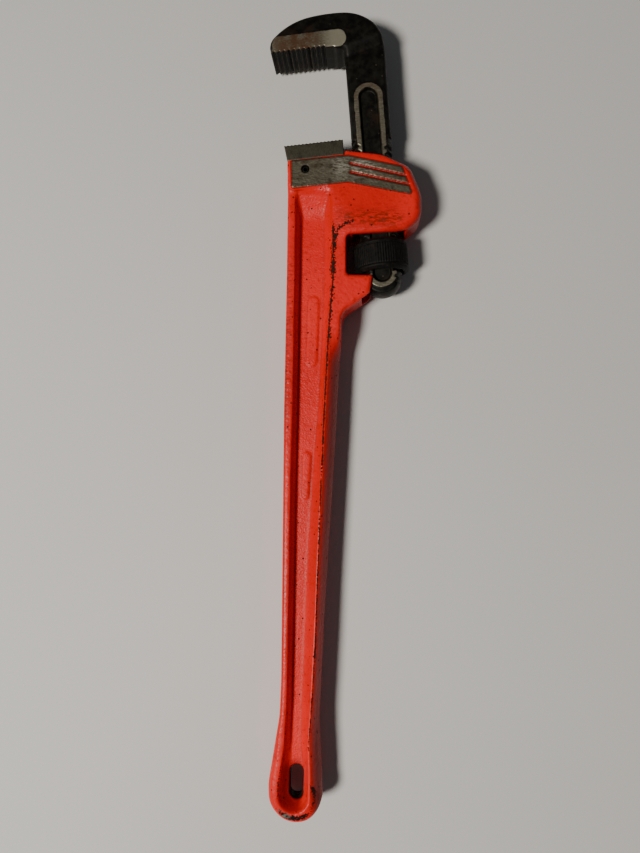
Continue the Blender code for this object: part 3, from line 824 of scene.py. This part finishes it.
def build_pin():
    """A rolled spring pin: a split tube with bevelled ends."""
    built = bmesh.new()
    profile = [
        (PIN_R - PIN_BEVEL, -PIN_HALF),
        (PIN_R, -PIN_HALF + PIN_BEVEL),
        (PIN_R, PIN_HALF - PIN_BEVEL),
        (PIN_R - PIN_BEVEL, PIN_HALF),
        (PIN_BORE, PIN_HALF),
        (PIN_BORE, -PIN_HALF),
    ]
    rows = []
    for k in range(PIN_STEPS + 1):
        angle = PIN_SPLIT / 2 + (2 * math.pi - PIN_SPLIT) * k / PIN_STEPS
        row = []
        for radius, height in profile:
            place = Vector((radius * math.cos(angle), radius * math.sin(angle), height))
            row.append(built.verts.new(place + Vector((*PIN_PLACE, 0.0))))
        rows.append(row)
    for low, high in zip(rows, rows[1:]):
        for i in range(len(profile)):
            j = (i + 1) % len(profile)
            built.faces.new((low[i], high[i], high[j], low[j]))
    built.faces.new(rows[0])
    built.faces.new(list(reversed(rows[-1])))
    bmesh.ops.recalc_face_normals(built, faces=built.faces)
    mesh = bpy.data.meshes.new("heel_jaw_roll_pin")
    built.to_mesh(mesh)
    built.free()
    mesh.transform(JAW_MATRIX)
    mesh.shade_smooth()
    mesh.set_sharp_from_angle(angle=math.radians(30))
    return add_object("heel_jaw_roll_pin", mesh)


# --- Materials ------------------------------------------------------------------------


class Nodes:
    """A short way to wire a material's nodes."""

    def __init__(self, name):
        self.material = bpy.data.materials.new(name)
        self.material.use_nodes = True
        self.tree = self.material.node_tree
        self.shader = self.tree.nodes["Principled BSDF"]
        self.place = self.tree.nodes.new("ShaderNodeTexCoord").outputs["Object"]

    def set(self, **values):
        """Plain values of the shader's inputs."""
        for key, value in values.items():
            self.shader.inputs[key.replace("_", " ")].default_value = value

    def link(self, socket, key):
        """Join a socket to one of the shader's inputs."""
        self.tree.links.new(socket, self.shader.inputs[key])

    def feed(self, node, index, value):
        """Give a node's input a socket or a plain value."""
        if isinstance(value, bpy.types.NodeSocket):
            self.tree.links.new(value, node.inputs[index])
        elif value is not None:
            node.inputs[index].default_value = value

    def math(self, operation, a, b=None):
        """One arithmetic node."""
        node = self.tree.nodes.new("ShaderNodeMath")
        node.operation = operation
        self.feed(node, 0, a)
        self.feed(node, 1, b)
        return node.outputs[0]

    def plus(self, a, b):
        return self.math("ADD", a, b)

    def times(self, a, b):
        return self.math("MULTIPLY", a, b)

    def larger(self, a, b):
        return self.math("MAXIMUM", a, b)

    def fray(self, value, noise, amount):
        """A value moved by noise, by up to half the amount either way."""
        return self.plus(value, self.times(self.math("SUBTRACT", noise, 0.5), amount))

    def attribute(self, name):
        """A layer of the mesh."""
        node = self.tree.nodes.new("ShaderNodeAttribute")
        node.attribute_name = name
        return node.outputs["Fac"]

    def noise(self, scale, detail=4.0, roughness=0.55, stretch=None):
        """Noise with cells of 1/scale metres; stretch is a scale and a turn about z."""
        node = self.tree.nodes.new("ShaderNodeTexNoise")
        node.inputs["Scale"].default_value = scale
        node.inputs["Detail"].default_value = detail
        node.inputs["Roughness"].default_value = roughness
        place = self.place
        if stretch:
            mapping = self.tree.nodes.new("ShaderNodeMapping")
            mapping.inputs["Scale"].default_value = stretch[0]
            mapping.inputs["Rotation"].default_value = (0.0, 0.0, stretch[1])
            self.tree.links.new(place, mapping.inputs["Vector"])
            place = mapping.outputs["Vector"]
        self.tree.links.new(place, node.inputs["Vector"])
        return node.outputs["Fac"]

    def cells(self, scale):
        """Distance from the nearest of scattered points, 1/scale metres apart."""
        node = self.tree.nodes.new("ShaderNodeTexVoronoi")
        node.inputs["Scale"].default_value = scale
        self.tree.links.new(self.place, node.inputs["Vector"])
        return node.outputs["Distance"]

    def between(self, value, low, high, to_low=0.0, to_high=1.0):
        """A smooth step from to_low where value is low to to_high where it is high."""
        node = self.tree.nodes.new("ShaderNodeMapRange")
        node.interpolation_type = "SMOOTHSTEP"
        self.feed(node, 0, value)
        for index, number in enumerate((low, high, to_low, to_high)):
            node.inputs[index + 1].default_value = number
        return node.outputs[0]

    def mix(self, share, a, b):
        """Colour a where share is 0, colour b where it is 1."""
        node = self.tree.nodes.new("ShaderNodeMix")
        node.data_type = "RGBA"
        self.feed(node, 0, share)
        for index, colour in ((6, a), (7, b)):
            if isinstance(colour, tuple):
                colour = (*colour, 1.0)
            self.feed(node, index, colour)
        return node.outputs[2]

    def blend(self, share, a, b):
        """Number a where share is 0, number b where it is 1."""
        node = self.tree.nodes.new("ShaderNodeMix")
        self.feed(node, 0, share)
        self.feed(node, 2, a)
        self.feed(node, 3, b)
        return node.outputs[0]

    def bump(self, height, strength, distance, normal=None):
        """A normal bent by a height, on top of another normal where one is given."""
        node = self.tree.nodes.new("ShaderNodeBump")
        node.inputs["Strength"].default_value = strength
        node.inputs["Distance"].default_value = distance
        self.feed(node, "Height", height)
        if normal is not None:
            self.feed(node, "Normal", normal)
        return node.outputs[0]


# Linear colours. Enamel: its two reds, mottling, painted shade in hollows and painted highlight
# on raised edges; painted shade on the outer flank, the housing's back edge and by the slot;
# where it is rubbed;
# and along the band's rim.
RED_DEEP, RED_CLEAR = (0.66, 0.012, 0.009), (0.80, 0.018, 0.014)
RED_MOTTLED = (0.46, 0.008, 0.003)
RED_HOLLOW_SHADE, RED_EDGE_HIGHLIGHT = (0.42, 0.007, 0.003), (0.86, 0.070, 0.035)
RED_PAINTED_SHADE, RED_RUBBED = (0.270, 0.005, 0.003), (0.130, 0.020, 0.009)
RED_RIM = (0.060, 0.010, 0.007)
PRIMER_DARK, PRIMER_LIGHT = (0.006, 0.003, 0.002), (0.060, 0.012, 0.007)
# Near-black: chip primer at the tail, the pin's hole, and painted shade on the hanging slot's
# wall.
NEAR_BLACK = (0.006, 0.005, 0.004)
CASTING_BARE = (0.150, 0.135, 0.110)

# Ground steel, its stains (also used as painted shade near the band's rim), its rubbed places
# and its rust.
STEEL_DARK, STEEL_LIGHT = (0.080, 0.070, 0.046), (0.235, 0.215, 0.155)
STAIN_AND_RIM_SHADE = (0.070, 0.046, 0.026)
BAND_BRIGHT = (0.52, 0.50, 0.42)
LAND_LIGHT, LAND_BRIGHT = (0.30, 0.28, 0.21), (0.44, 0.41, 0.31)
RUST_DARK, RUST_LIGHT = (0.065, 0.025, 0.010), (0.185, 0.082, 0.040)
HEEL_DARK, HEEL_LIGHT = (0.085, 0.078, 0.054), (0.165, 0.150, 0.108)
PIN_DARK, PIN_LIGHT = (0.012, 0.011, 0.010), (0.035, 0.032, 0.028)
SPRING_DARK, SPRING_LIGHT = (0.14, 0.14, 0.15), (0.30, 0.30, 0.32)

# Black oxide of the forging and of the nut, browned in patches, and their worn edges.
OXIDE_DARK, OXIDE_LIGHT = (0.0035, 0.0032, 0.0024), (0.012, 0.011, 0.008)
OXIDE_BROWN, OXIDE_WORN = (0.022, 0.012, 0.007), (0.110, 0.088, 0.060)
NUT_DARK, NUT_LIGHT = (0.0030, 0.0028, 0.0024), (0.009, 0.008, 0.007)
NUT_BROWN, NUT_WORN = (0.028, 0.018, 0.010), (0.12, 0.11, 0.09)

FLOOR_DARK, FLOOR_LIGHT = (0.60, 0.60, 0.59), (0.66, 0.66, 0.65)

# Stretch and turn of grinding marks: across the band, the lands and the heel jaw.
BAND_MARKS = ((1.0, 14.0, 1.0), 0.1)
LAND_MARKS = ((1.0, 12.0, 1.0), 0.0)
HEEL_MARKS = ((14.0, 1.0, 1.0), 0.1)
RUB_MARKS = ((1.0, 3.0, 1.0), 0.1)


def enamel_material():
    """Orange-red enamel on a rough casting, chipped to dark primer, with a ground band."""
    n = Nodes("chipped_red_enamel")
    broad = n.noise(14.0, 3.0)
    patch = n.noise(120.0, 3.0, 0.6)
    fine = n.noise(1100.0, 3.0, 0.6)
    chip_noise = n.noise(800.0, 3.0, 0.6)
    mottle = n.noise(330.0, 3.0, 0.55)
    streak = n.noise(260.0, 4.0, 0.65, RUB_MARKS)
    grind = n.noise(420.0, 4.0, 0.7, BAND_MARKS)
    edge = n.attribute("edge")
    in_band = n.attribute("band")
    at_tail = n.attribute("tail")
    grain = n.attribute("grain")

    # Paint: reds, darker in hollows as painted shade and lighter on raised edges as painted
    # highlight, darker again as painted shade on the flank, the back edge and by the slot,
    # rubbed brown in streaks.
    red = n.mix(n.between(broad, 0.35, 0.68), RED_DEEP, RED_CLEAR)
    red = n.mix(n.between(mottle, 0.52, 0.70, 0.0, 0.5), red, RED_MOTTLED)
    # Painted shade: darker red in hollows.
    red = n.mix(n.between(edge, -0.02, -0.16), red, RED_HOLLOW_SHADE)
    # Painted highlight: lighter red on raised edges.
    red = n.mix(n.between(edge, 0.10, 0.45, 0.0, 0.35), red, RED_EDGE_HIGHLIGHT)
    # Painted shade: darker red on the outer flank, the housing's back edge and the hollow by the
    # slot.
    red = n.mix(n.times(n.attribute("painted_shade"), 0.80), red, RED_PAINTED_SHADE)
    rubbed = n.times(n.attribute("rub"), n.between(streak, 0.40, 0.62))
    red = n.mix(n.times(rubbed, 0.95), red, RED_RUBBED)

    # Chips, where wear and noise add up, and small pits all over.
    chance = n.plus(n.times(n.attribute("wear"), 0.32), n.times(patch, 0.35))
    chance = n.plus(chance, n.times(chip_noise, 0.55))
    pits = n.between(n.fray(n.cells(150.0), chip_noise, 0.16), 0.105, 0.085)
    chips = n.larger(n.between(chance, 0.695, 0.715), pits)
    primer = n.mix(n.between(fine, 0.40, 0.60), PRIMER_DARK, PRIMER_LIGHT)
    primer = n.mix(at_tail, primer, NEAR_BLACK)
    worn_bare = n.times(n.between(patch, 0.50, 0.60), at_tail)
    primer = n.mix(worn_bare, primer, CASTING_BARE)
    colour = n.mix(chips, red, primer)

    # The ground band: steel with grinding marks and stains, darker near its rim as painted
    # shade.
    band = n.between(n.fray(in_band, chip_noise, 1.0), -0.10, 0.12)
    steel = n.mix(n.between(grind, 0.3, 0.7), STEEL_DARK, STEEL_LIGHT)
    steel = n.mix(n.between(patch, 0.50, 0.70, 0.0, 0.8), steel, STAIN_AND_RIM_SHADE)
    bright = n.times(n.attribute("shine"), n.between(streak, 0.40, 0.58))
    steel = n.mix(n.times(bright, 0.7), steel, BAND_BRIGHT)
    # Painted shade: darker steel near the band's rim.
    steel = n.mix(n.between(in_band, 1.8, 0.2, 0.0, 0.75), steel, STAIN_AND_RIM_SHADE)
    colour = n.mix(band, colour, steel)
    rim = n.between(n.math("ABSOLUTE", n.plus(in_band, 0.3)), 0.6, 0.1)
    colour = n.mix(n.times(rim, 0.75), colour, RED_RIM)

    # Near-black in the pin's hole, and painted shade on the hanging slot's wall.
    dark_in_holes = n.between(n.attribute("hole"), 3.6, 2.9)
    n.link(n.mix(dark_in_holes, colour, NEAR_BLACK), "Base Color")
    n.link(n.times(band, n.between(dark_in_holes, 0.0, 1.0, 0.7, 0.0)), "Metallic")

    # Gloss, and the skin: orange peel, coarse grain on the web, chips set into the paint.
    paint_gloss = n.between(broad, 0.3, 0.7, 0.29, 0.40)
    gloss = n.blend(band, paint_gloss, n.between(grind, 0.3, 0.7, 0.34, 0.52))
    gloss = n.plus(gloss, n.times(rubbed, 0.12))
    gloss = n.plus(gloss, n.times(grain, 0.08))
    n.link(n.blend(chips, gloss, 0.92), "Roughness")
    peel = n.plus(n.noise(300.0, 2.0, 0.5), n.times(n.noise(750.0, 3.0, 0.6), 0.55))
    coarse = n.times(n.times(n.noise(1000.0, 2.0), grain), 0.7)
    skin = n.bump(n.plus(peel, coarse), 0.5, 0.0007)
    dents = n.bump(chips, -0.8, 0.0004, skin)
    n.link(n.bump(grind, 0.10, 0.0002, dents), "Normal")
    n.set(Specular_IOR_Level=0.22)
    return n.material


def forging_material():
    """Black oxide on a forging, bare on the ground lands and the worn edges."""
    n = Nodes("black_oxide_forging")
    fine = n.noise(700.0, 4.0, 0.6)
    patches = n.noise(70.0, 4.0, 0.6)
    scale = n.noise(180.0, 5.0, 0.65)
    grind = n.noise(380.0, 4.0, 0.7, LAND_MARKS)
    edge = n.attribute("edge")
    along_t = n.attribute("along_t")
    along_s = n.attribute("along_s")
    black = n.mix(n.between(scale, 0.35, 0.7), OXIDE_DARK, OXIDE_LIGHT)
    black = n.mix(n.between(patches, 0.54, 0.72), black, OXIDE_BROWN)

    # The lands' steel: polished at the head's root, rusty towards its tip and at the neck.
    steel = n.mix(n.between(grind, 0.3, 0.7), STEEL_DARK, LAND_LIGHT)
    head = n.between(along_s, 138.0, 142.0)
    polish = n.times(n.between(along_t, -34.0, -20.0), head)
    steel = n.mix(n.times(polish, 0.7), steel, LAND_BRIGHT)
    rust_noise = n.between(n.noise(140.0, 4.0, 0.62), 0.34, 0.56)
    rusty = n.plus(n.times(rust_noise, 0.72), 0.12)
    rust = n.mix(fine, RUST_DARK, RUST_LIGHT)
    toward_tip = n.times(n.between(along_t, -26.0, -40.0), head)
    toward_tip = n.times(toward_tip, n.between(along_t, -70.0, -56.0, 0.35, 1.0))
    steel = n.mix(n.times(toward_tip, rusty), steel, rust)
    below_head = n.math("SUBTRACT", 1.0, head)
    neck_rust = n.times(n.times(n.between(along_s, 106.0, 116.0), below_head), 0.45)
    steel = n.mix(n.times(neck_rust, rusty), steel, rust)

    # Where it is bare: the lands, less at their raised rims, where the darker oxide is painted
    # shade; then raised edges and specks.
    land = n.between(n.fray(n.attribute("bare"), scale, 1.8), -0.10, 0.25)
    # Painted shade: the lands' raised rims kept dark.
    land = n.times(land, n.between(edge, 0.20, 0.42, 1.0, 0.35))
    worn = n.times(n.between(n.fray(edge, scale, 0.9), 0.36, 0.48), 0.4)
    speck = n.between(n.fray(n.cells(130.0), fine, 0.2), 0.075, 0.055)
    bare = n.larger(land, n.larger(worn, n.times(speck, 0.7)))
    steel = n.mix(land, OXIDE_WORN, steel)
    n.link(n.mix(bare, black, steel), "Base Color")
    n.link(n.blend(bare, 0.35, 0.6), "Metallic")
    dull = n.between(scale, 0.3, 0.7, 0.42, 0.60)
    n.link(n.blend(bare, dull, n.between(grind, 0.3, 0.7, 0.32, 0.48)), "Roughness")
    skin = n.bump(scale, 0.35, 0.0006)
    n.link(n.bump(grind, 0.08, 0.0002, skin), "Normal")
    n.set(Specular_IOR_Level=0.25)
    return n.material


def steel_material(name, dark, light, marks, rough):
    """Ground or drawn steel with grinding marks and a little staining."""
    n = Nodes(name)
    grind = n.noise(520.0, 4.0, 0.7, marks)
    stain = n.noise(110.0, 4.0, 0.6)
    colour = n.mix(n.between(grind, 0.3, 0.7), dark, light)
    deep = tuple(part * 0.45 for part in dark)
    colour = n.mix(n.between(stain, 0.50, 0.72, 0.0, 0.65), colour, deep)
    n.link(colour, "Base Color")
    n.link(n.between(grind, 0.3, 0.7, rough - 0.08, rough + 0.10), "Roughness")
    n.link(n.bump(grind, 0.12, 0.0002), "Normal")
    n.set(Metallic=0.85)
    return n.material


def nut_material():
    """Satin black oxide, a little worn on the knurl's crests."""
    n = Nodes("black_oxide_nut")
    scale = n.noise(420.0, 4.0, 0.6)
    patches = n.noise(90.0, 3.0, 0.6)
    black = n.mix(n.between(scale, 0.35, 0.7), NUT_DARK, NUT_LIGHT)
    black = n.mix(n.between(patches, 0.6, 0.8), black, NUT_BROWN)
    worn = n.fray(n.attribute("edge"), scale, 0.5)
    worn = n.between(worn, 0.34, 0.50, 0.0, 0.25)
    n.link(n.mix(worn, black, NUT_WORN), "Base Color")
    n.link(n.between(scale, 0.3, 0.7, 0.52, 0.70), "Roughness")
    n.link(n.bump(scale, 0.25, 0.0004), "Normal")
    n.set(Metallic=0.1, Specular_IOR_Level=0.15)
    return n.material


# --- Floor, light and camera ----------------------------------------------------------


FLOOR_HALF = 6.0

# Lights: name, place, size and power, and the colour of their light.
LIGHTS = (
    ("key", (-0.95, -0.55, 1.75), 0.45, 46.0, (1.0, 0.94, 0.86)),
    ("fill", (1.2, 0.8, 1.6), 1.6, 0.6, (0.93, 0.96, 1.0)),
)
SKY_COLOUR, SKY_STRENGTH = (0.9, 0.92, 0.95, 1.0), 0.06

# Camera: its place in the handle frame, its turns about x, y and z in degrees, its sensor
# and its lens.
CAMERA_PLACE = (48.0, 274.3, 460.0)
CAMERA_TURN = (1.709, 4.609, 1.6235)
SENSOR_WIDTH = 36.0
LENS = 26.1664713


def build_floor():
    """A plain pale floor in the plane that the wrench lies on."""
    mesh = bpy.data.meshes.new("floor")
    signs = ((-1, -1), (1, -1), (1, 1), (-1, 1))
    corners = [(a * FLOOR_HALF, b * FLOOR_HALF, 0.0) for a, b in signs]
    mesh.from_pydata(corners, [], [(0, 1, 2, 3)])
    n = Nodes("pale_floor")
    n.link(n.mix(n.noise(3.0, 3.0), FLOOR_DARK, FLOOR_LIGHT), "Base Color")
    n.set(Roughness=0.7)
    mesh.materials.append(n.material)
    add_object("floor", mesh)


def add_light(name, place, size, power, colour):
    """A round soft light aimed at the middle of the floor."""
    data = bpy.data.lights.new(name, "AREA")
    data.shape = "DISK"
    data.size = size
    data.energy = power
    data.color = colour
    light = add_object(name, data)
    light.location = place
    aim = -Vector(place)
    light.rotation_euler = aim.to_track_quat("-Z", "Y").to_euler()


def build_lights():
    """The lights and a dim even sky."""
    for light in LIGHTS:
        add_light(*light)
    world = bpy.data.worlds.new("studio")
    world.use_nodes = True
    background = world.node_tree.nodes["Background"]
    background.inputs["Color"].default_value = SKY_COLOUR
    background.inputs["Strength"].default_value = SKY_STRENGTH
    bpy.context.scene.world = world


def build_camera():
    """A hand-held view from above, nearly square to the wrench's flat side."""
    data = bpy.data.cameras.new("camera")
    data.sensor_width = SENSOR_WIDTH
    data.lens = LENS
    data.clip_start = 0.01
    camera = add_object("camera", data)
    camera.location = HANDLE_MATRIX @ Vector(CAMERA_PLACE)
    camera.rotation_euler = [math.radians(angle) for angle in CAMERA_TURN]
    bpy.context.scene.camera = camera


# --- Putting it together --------------------------------------------------------------


def give_look(piece, look):
    """Make a material a piece's only one."""
    piece.data.materials.clear()
    piece.data.materials.append(look)


def put(piece, look, body, slot, *nodes):
    """Give a new piece its material and its body, and hide the CAD nodes it stands for; slot is
    not used.
    """
    give_look(piece, look)
    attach(piece, body)
    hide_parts(*nodes)


def main():
    """Build the camera, the pieces with their looks, and the studio."""
    build_camera()
    put(build_handle(), enamel_material(), "handle", "red_enamel", "handle")
    put(build_hook(), forging_material(), "hook", "black_oxide", "hook_jaw")
    heel_look = steel_material("ground_heel_steel", HEEL_DARK, HEEL_LIGHT, HEEL_MARKS, 0.42)
    put(build_heel(), heel_look, "handle", "ground_steel", "heel_jaw")
    put(build_nut(), nut_material(), "nut", "nut_black_oxide", "adjusting_nut")
    pin_look = steel_material("dark_pin_steel", PIN_DARK, PIN_LIGHT, None, 0.55)
    put(build_pin(), pin_look, "handle", "pin_steel", "heel_jaw_pin")
    spring_look = steel_material("spring_steel", SPRING_DARK, SPRING_LIGHT, None, 0.35)
    for name in ("flat_spring", "spring_rivet", "coil_spring"):
        give_look(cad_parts[name], spring_look)
    build_floor()
    build_lights()


main()
